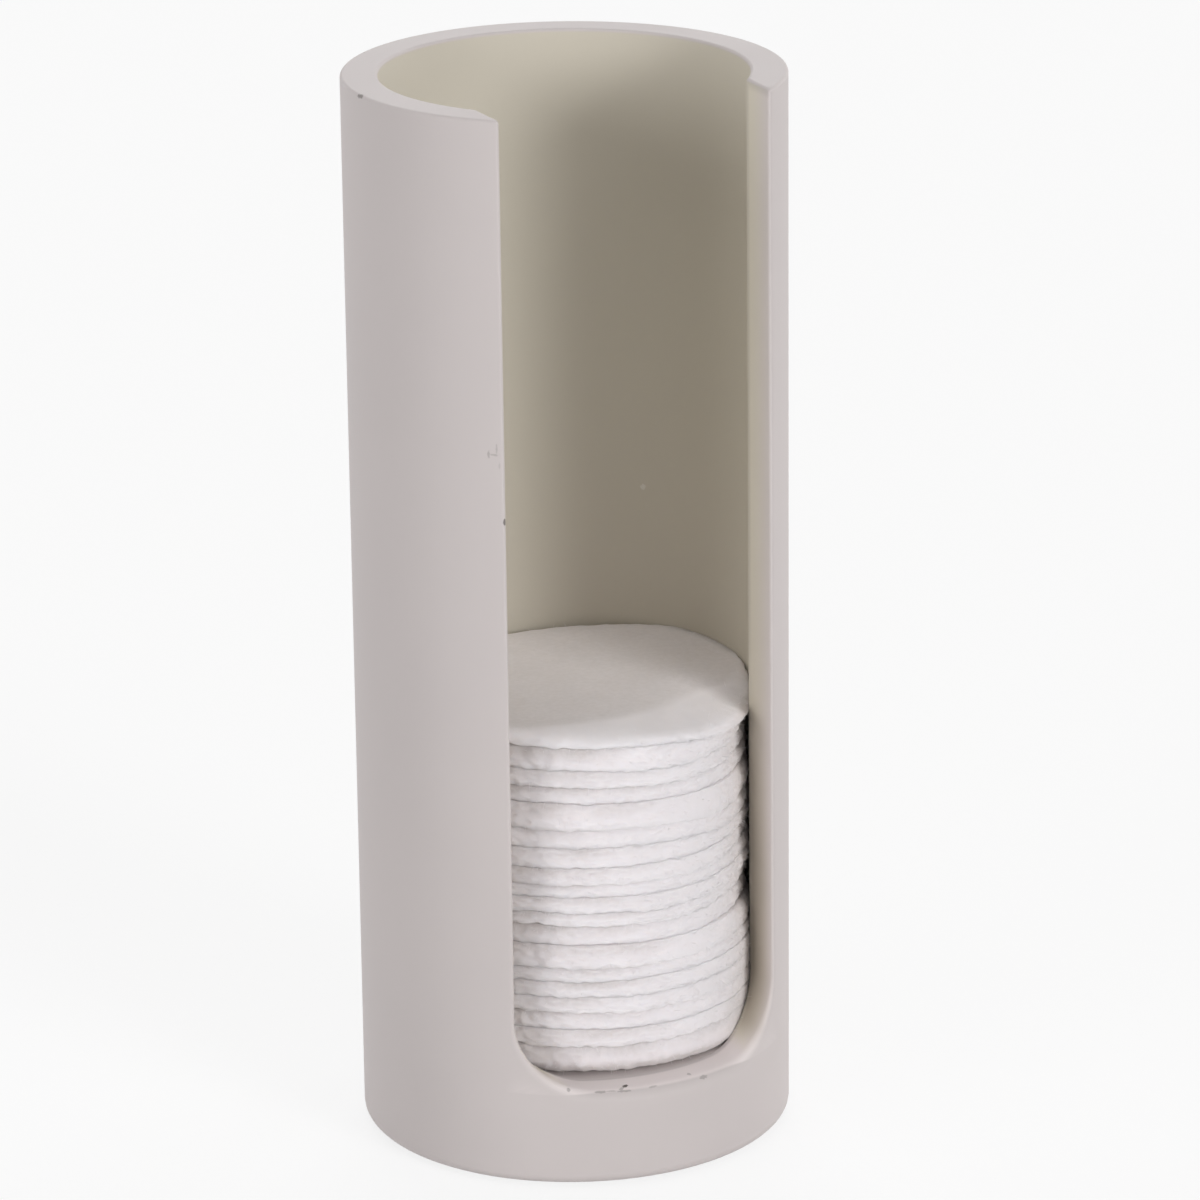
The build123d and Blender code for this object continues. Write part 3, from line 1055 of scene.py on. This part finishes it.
class PADBOX_OT_pads(Operator):
    """Build the cotton pads of the stack"""
    bl_idname = "pad_container.pads"
    bl_label = "Cotton pads"

    def execute(self, context):
        sizes, shell = context.scene.pad_container_pads, context.scene.pad_container_shell
        dice = random.Random(19)
        disc = turned_disc()
        for number, name in enumerate(PAD_NODES, start=1):
            low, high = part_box(name)
            top = high.z + sizes.swell if name != PAD_NODES[-1] else high.z - sizes.top_sink
            shape = PadShape(sizes, shell, number, low.z - sizes.swell, top, (low + high) / 2)
            pad = new_piece(name.replace("cotton_pad", "pressed_pad"), pad_mesh(shape, disc),
                            finish_named("pressed_cotton"), name)
            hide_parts(name)
            fuzz = fuzz_on(pad, shape, sizes, dice)
            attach(fuzz, name)
        disc.free()
        return {"FINISHED"}


class PADBOX_OT_stage(Operator):
    """Set up the floor, the lamps and the camera"""
    bl_idname = "pad_container.stage"
    bl_label = "Floor, lamps and camera"

    def execute(self, context):
        stage = context.scene.pad_container_stage
        bm = bmesh.new()
        bmesh.ops.create_circle(bm, cap_ends=True, segments=FLOOR_SIDES, radius=FLOOR_RADIUS)
        mesh = bpy.data.meshes.new("floor")
        bm.to_mesh(mesh)
        bm.free()
        mesh.materials.append(backdrop_material(stage))
        floor = bpy.data.objects.new("floor", mesh)
        context.scene.collection.objects.link(floor)

        studio_world()
        for row in LAMPS:
            lamp(*row)

        data = bpy.data.cameras.new("camera")
        data.sensor_width = 36.0
        data.lens = stage.focal_length
        data.clip_start = 0.01
        camera = bpy.data.objects.new("camera", data)
        context.scene.collection.objects.link(camera)
        camera.location = CAMERA_PLACE
        ahead = (CAMERA_AIM - CAMERA_PLACE).to_track_quat("-Z", "Y")
        camera.rotation_mode = "QUATERNION"
        camera.rotation_quaternion = ahead @ Quaternion((0, 0, 1), stage.camera_roll)
        context.scene.camera = camera
        context.scene.view_settings.view_transform = "Standard"
        return {"FINISHED"}


class PADBOX_PT_panel(Panel):
    """Lists the container's pieces and their sizes"""
    bl_idname = "PADBOX_PT_panel"
    bl_label = "Cotton pad container"
    bl_space_type = "VIEW_3D"
    bl_region_type = "UI"
    bl_category = "Pad Container"

    def draw(self, context):
        scene = context.scene
        for settings in (scene.pad_container_shell, scene.pad_container_pads,
                         scene.pad_container_finishes, scene.pad_container_stage):
            box = self.layout.box()
            for name in settings.__annotations__:
                box.prop(settings, name)
        for operator in OPERATORS:
            self.layout.operator(operator.bl_idname)


OPERATORS = (PADBOX_OT_shell, PADBOX_OT_base, PADBOX_OT_pads, PADBOX_OT_stage)
SETTINGS = {
    "pad_container_shell": ShellSizes,
    "pad_container_pads": PadSizes,
    "pad_container_finishes": Finishes,
    "pad_container_stage": StageSettings,
}


def register():
    for cls in (*SETTINGS.values(), *OPERATORS, PADBOX_PT_panel):
        bpy.utils.register_class(cls)
    for name, cls in SETTINGS.items():
        setattr(bpy.types.Scene, name, PointerProperty(type=cls))


def unregister():
    for name in SETTINGS:
        delattr(bpy.types.Scene, name)
    for cls in reversed((*SETTINGS.values(), *OPERATORS, PADBOX_PT_panel)):
        bpy.utils.unregister_class(cls)


def main():
    """Builds everything in order."""
    register()
    bpy.ops.pad_container.shell()
    bpy.ops.pad_container.base()
    bpy.ops.pad_container.pads()
    bpy.ops.pad_container.stage()


if __name__ == "__main__":
    main()
